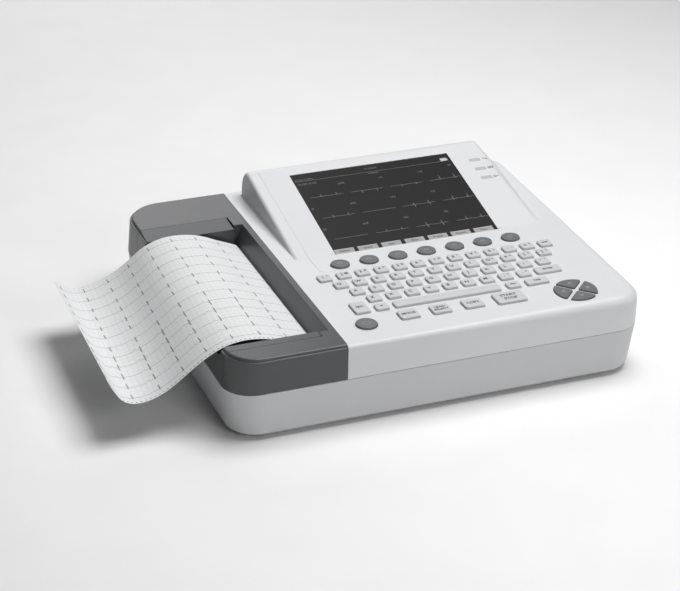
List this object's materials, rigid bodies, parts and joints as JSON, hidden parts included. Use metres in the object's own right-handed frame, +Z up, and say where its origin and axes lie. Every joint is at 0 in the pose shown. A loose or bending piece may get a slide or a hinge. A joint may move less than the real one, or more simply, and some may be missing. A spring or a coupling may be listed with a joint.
{
  "type": "ecg machine",
  "caption": "Desktop electrocardiograph: flat case with tilted display, keypad with arrow pad, and a dark recorder casing whose drawer feeds wide chart paper out to the left.",
  "frame": {"origin": "centre of the lower shell's flat underside, on the case's plan centre", "axes": "+X to the right seen by the person at the keypad, +Y from the front edge to the display's rear edge, +Z up"},
  "size_m": [0.5054, 0.354, 0.1122],
  "materials": {
    "shell_white": "fine satin texture",
    "shell_grey": "fine satin texture",
    "casing_dark": "fine spark texture",
    "key_light": "smooth matt silicone",
    "key_dark": "smooth matt silicone",
    "rubber": "matt",
    "display_glass": "clear hard coat over a dark display",
    "lamp_window": "translucent",
    "nylon": "moulded",
    "brass": "turned",
    "steel": "rolled",
    "alloy": "extruded",
    "board_green": "solder resist",
    "black_plastic": "moulded",
    "battery_wrap": "shrink film",
    "paper": "uncoated thermal chart paper"
  },
  "bodies": {
    "case": {"bottom_shell": "shell_grey", "top_shell": "shell_white", "recorder_bezel": "casing_dark", "battery_door": "shell_grey", "door_screw": "steel", "foot_front_left": "rubber", "foot_front_right": "rubber", "foot_rear_left": "rubber", "foot_rear_right": "rubber", "drive_motor": "black_plastic", "drive_bracket": "steel", "print_head": "alloy", "tear_bar": "steel", "lcd_window": "display_glass", "lcd_panel": "black_plastic", "mains_lamp": "lamp_window", "battery_lamp": "lamp_window", "charge_lamp": "lamp_window", "keypad_board": "board_green", "main_board": "board_green", "power_supply_board": "board_green", "battery_pack": "battery_wrap", "speaker": "black_plastic", "mains_inlet": "black_plastic", "fuse_drawer": "black_plastic", "earth_stud": "brass", "patient_socket": "steel", "network_socket": "alloy", "usb_socket": "alloy"},
    "drawer": {"paper_drawer": "casing_dark", "chart_paper": "paper"},
    "platen": {"platen_roller": "rubber", "platen_gear": "nylon"},
    "idler": {"idler_gear": "nylon"},
    "pinion": {"motor_pinion": "brass"},
    "roll": {"paper_roll": "paper", "roll_spindle": "black_plastic"},
    "rocker": {"mains_switch": "black_plastic"},
    "function_key_1": {"function_key_1": "key_dark"},
    "function_key_2": {"function_key_2": "key_dark"},
    "function_key_3": {"function_key_3": "key_dark"},
    "function_key_4": {"function_key_4": "key_dark"},
    "function_key_5": {"function_key_5": "key_dark"},
    "function_key_6": {"function_key_6": "key_dark"},
    "function_key_7": {"function_key_7": "key_dark"},
    "number_row_keys": {"number_row_keys": "key_light"},
    "upper_row_keys": {"upper_row_keys": "key_light"},
    "middle_row_keys": {"middle_row_keys": "key_light"},
    "lower_row_keys": {"lower_row_keys": "key_light"},
    "space_row_keys": {"space_row_keys": "key_light"},
    "esc_key": {"esc_key": "key_light"},
    "mode_key": {"mode_key": "key_light"},
    "lead_key": {"lead_key": "key_light"},
    "copy_key": {"copy_key": "key_light"},
    "start_key": {"start_key": "key_light"},
    "power_button": {"power_button": "key_dark"},
    "arrow_up_key": {"arrow_up_key": "key_dark"},
    "arrow_down_key": {"arrow_down_key": "key_dark"},
    "arrow_left_key": {"arrow_left_key": "key_dark"},
    "arrow_right_key": {"arrow_right_key": "key_dark"}
  },
  "joints": [
    {"name": "drawer_slide", "type": "slide", "parent": "case", "child": "drawer", "axis": [-1, 0, 0], "range_m": [0, 0.095]},
    {"name": "platen_spin", "type": "hinge", "parent": "drawer", "child": "platen", "pos_m": [-0.119, 0, 0.0534], "axis": [0, 1, 0], "continuous": true},
    {"name": "idler_spin", "type": "hinge", "parent": "case", "child": "idler", "pos_m": [-0.098, 0, 0.0534], "axis": [0, 1, 0], "continuous": true},
    {"name": "pinion_spin", "type": "hinge", "parent": "case", "child": "pinion", "pos_m": [-0.08276, 0, 0.04709], "axis": [0, 1, 0], "continuous": true},
    {"name": "roll_spin", "type": "hinge", "parent": "case", "child": "roll", "pos_m": [-0.16, 0, 0.0245], "axis": [0, 1, 0], "continuous": true},
    {"name": "rocker_turn", "type": "hinge", "parent": "case", "child": "rocker", "pos_m": [0.119, 0.1662, 0.022], "axis": [1, 0, 0], "range_deg": [0, 14]},
    {"name": "function_1_press", "type": "slide", "parent": "case", "child": "function_key_1", "axis": [0, 0, -1], "range_m": [0, 0.0012], "stiffness_N_per_m": 400, "springref_m": -0.0005},
    {"name": "function_2_press", "type": "slide", "parent": "case", "child": "function_key_2", "axis": [0, 0, -1], "range_m": [0, 0.0012], "stiffness_N_per_m": 400, "springref_m": -0.0005},
    {"name": "function_3_press", "type": "slide", "parent": "case", "child": "function_key_3", "axis": [0, 0, -1], "range_m": [0, 0.0012], "stiffness_N_per_m": 400, "springref_m": -0.0005},
    {"name": "function_4_press", "type": "slide", "parent": "case", "child": "function_key_4", "axis": [0, 0, -1], "range_m": [0, 0.0012], "stiffness_N_per_m": 400, "springref_m": -0.0005},
    {"name": "function_5_press", "type": "slide", "parent": "case", "child": "function_key_5", "axis": [0, 0, -1], "range_m": [0, 0.0012], "stiffness_N_per_m": 400, "springref_m": -0.0005},
    {"name": "function_6_press", "type": "slide", "parent": "case", "child": "function_key_6", "axis": [0, 0, -1], "range_m": [0, 0.0012], "stiffness_N_per_m": 400, "springref_m": -0.0005},
    {"name": "function_7_press", "type": "slide", "parent": "case", "child": "function_key_7", "axis": [0, 0, -1], "range_m": [0, 0.0012], "stiffness_N_per_m": 400, "springref_m": -0.0005},
    {"name": "number_row_press", "type": "slide", "parent": "case", "child": "number_row_keys", "axis": [0, 0, -1], "range_m": [0, 0.0012], "stiffness_N_per_m": 1500, "springref_m": -0.0005},
    {"name": "upper_row_press", "type": "slide", "parent": "case", "child": "upper_row_keys", "axis": [0, 0, -1], "range_m": [0, 0.0012], "stiffness_N_per_m": 1500, "springref_m": -0.0005},
    {"name": "middle_row_press", "type": "slide", "parent": "case", "child": "middle_row_keys", "axis": [0, 0, -1], "range_m": [0, 0.0012], "stiffness_N_per_m": 1500, "springref_m": -0.0005},
    {"name": "lower_row_press", "type": "slide", "parent": "case", "child": "lower_row_keys", "axis": [0, 0, -1], "range_m": [0, 0.0012], "stiffness_N_per_m": 1500, "springref_m": -0.0005},
    {"name": "space_row_press", "type": "slide", "parent": "case", "child": "space_row_keys", "axis": [0, 0, -1], "range_m": [0, 0.0012], "stiffness_N_per_m": 1500, "springref_m": -0.0005},
    {"name": "esc_press", "type": "slide", "parent": "case", "child": "esc_key", "axis": [0, 0, -1], "range_m": [0, 0.0012], "stiffness_N_per_m": 400, "springref_m": -0.0005},
    {"name": "mode_press", "type": "slide", "parent": "case", "child": "mode_key", "axis": [0, 0, -1], "range_m": [0, 0.0012], "stiffness_N_per_m": 400, "springref_m": -0.0005},
    {"name": "lead_press", "type": "slide", "parent": "case", "child": "lead_key", "axis": [0, 0, -1], "range_m": [0, 0.0012], "stiffness_N_per_m": 400, "springref_m": -0.0005},
    {"name": "copy_press", "type": "slide", "parent": "case", "child": "copy_key", "axis": [0, 0, -1], "range_m": [0, 0.0012], "stiffness_N_per_m": 400, "springref_m": -0.0005},
    {"name": "start_press", "type": "slide", "parent": "case", "child": "start_key", "axis": [0, 0, -1], "range_m": [0, 0.0012], "stiffness_N_per_m": 400, "springref_m": -0.0005},
    {"name": "power_press", "type": "slide", "parent": "case", "child": "power_button", "axis": [0, 0, -1], "range_m": [0, 0.0012], "stiffness_N_per_m": 400, "springref_m": -0.0005},
    {"name": "arrow_up_press", "type": "slide", "parent": "case", "child": "arrow_up_key", "axis": [0, 0, -1], "range_m": [0, 0.0012], "stiffness_N_per_m": 400, "springref_m": -0.0005},
    {"name": "arrow_down_press", "type": "slide", "parent": "case", "child": "arrow_down_key", "axis": [0, 0, -1], "range_m": [0, 0.0012], "stiffness_N_per_m": 400, "springref_m": -0.0005},
    {"name": "arrow_left_press", "type": "slide", "parent": "case", "child": "arrow_left_key", "axis": [0, 0, -1], "range_m": [0, 0.0012], "stiffness_N_per_m": 400, "springref_m": -0.0005},
    {"name": "arrow_right_press", "type": "slide", "parent": "case", "child": "arrow_right_key", "axis": [0, 0, -1], "range_m": [0, 0.0012], "stiffness_N_per_m": 400, "springref_m": -0.0005}
  ],
  "couplings": [
    {"joint": "idler_spin", "follows": "platen_spin", "ratio": -0.75},
    {"joint": "pinion_spin", "follows": "platen_spin", "ratio": 2},
    {"joint": "roll_spin", "follows": "platen_spin", "ratio": -0.41026}
  ]
}
